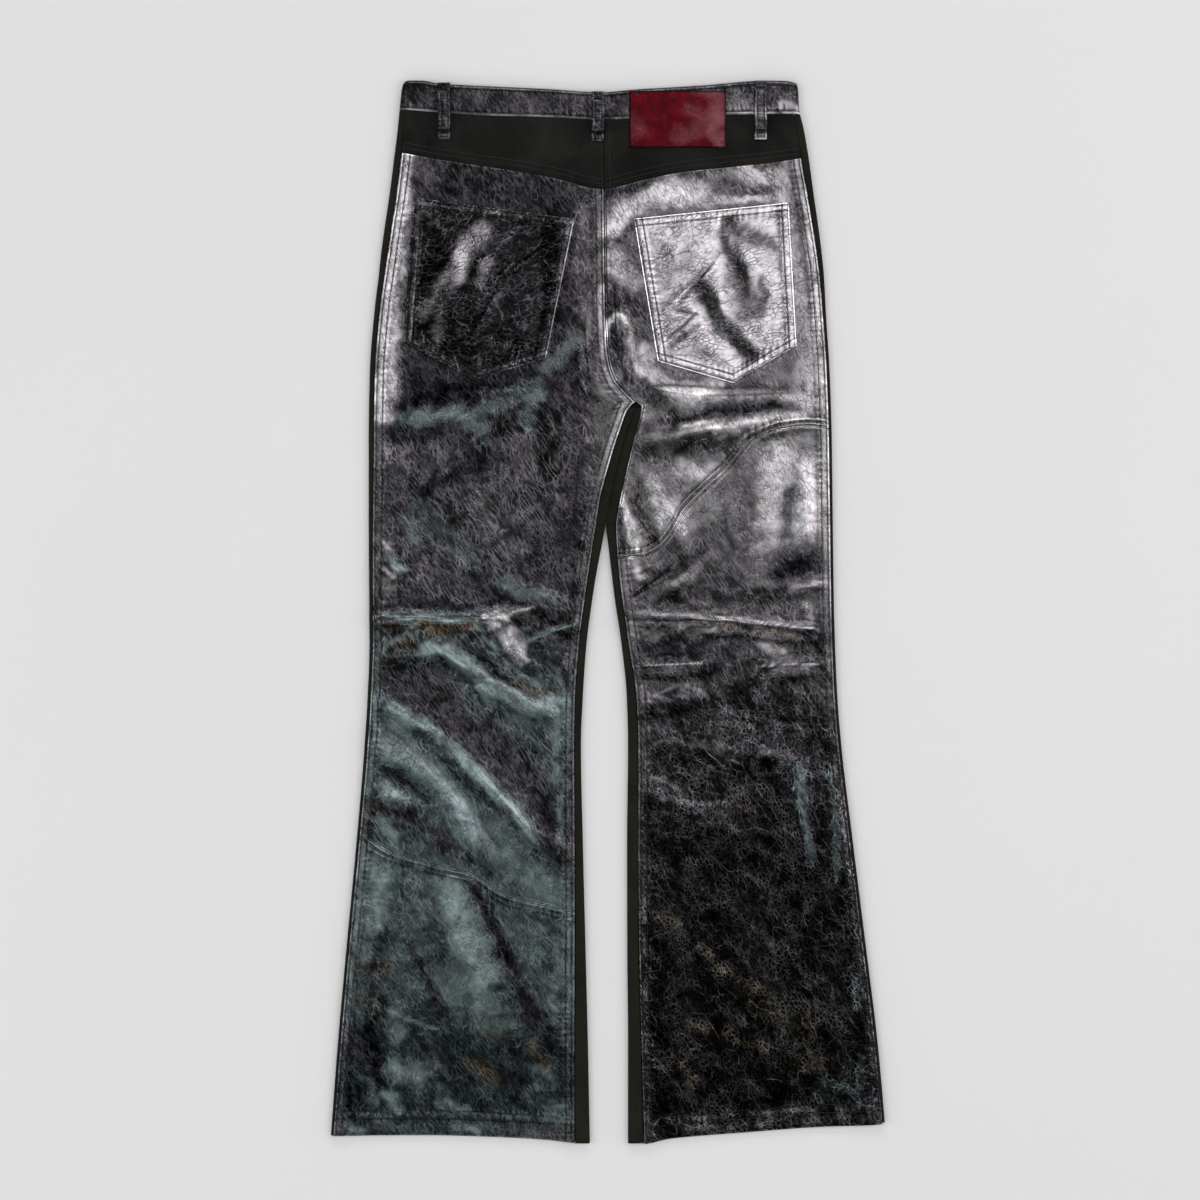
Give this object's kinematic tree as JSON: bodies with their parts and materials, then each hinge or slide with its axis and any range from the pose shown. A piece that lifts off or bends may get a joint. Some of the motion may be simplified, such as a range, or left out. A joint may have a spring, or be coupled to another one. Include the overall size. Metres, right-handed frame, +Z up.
{
  "type": "leather trousers",
  "caption": "Flared leather trousers laid flat, face down, with suede fronts and yoke, glossy backs, patch pockets, belt loops and a bare red waist patch.",
  "frame": {"origin": "middle of the garment's box, on the surface it lies on", "axes": "+Y from the hems to the waist, +Z up from the surface out of the garment's back, +X across to the wearer's right"},
  "size_m": [0.5642, 1.0824, 0.0142],
  "materials": {
    "gloss_leather": "high gloss black, cracked grain",
    "band_leather": "gloss black, cracked grain",
    "suede": "matte nap",
    "yoke_suede": "matte nap",
    "red_leather": "satin, rough cut edge",
    "button_metal": "dull"
  },
  "bodies": {
    "root": {"waistband": "band_leather", "yoke_left": "yoke_suede", "yoke_right": "yoke_suede", "back_left_upper": "gloss_leather", "back_left_lower": "gloss_leather", "back_right_upper": "gloss_leather", "back_right_lower": "gloss_leather", "front_left": "suede", "front_right": "suede", "pocket_left": "gloss_leather", "pocket_right": "gloss_leather", "waist_patch": "red_leather", "loop_back_left": "band_leather", "loop_back_centre": "band_leather", "loop_back_right": "band_leather", "loop_front_left": "band_leather", "loop_front_right": "band_leather", "fly_flap": "suede", "waist_button": "button_metal"}
  },
  "joints": []
}
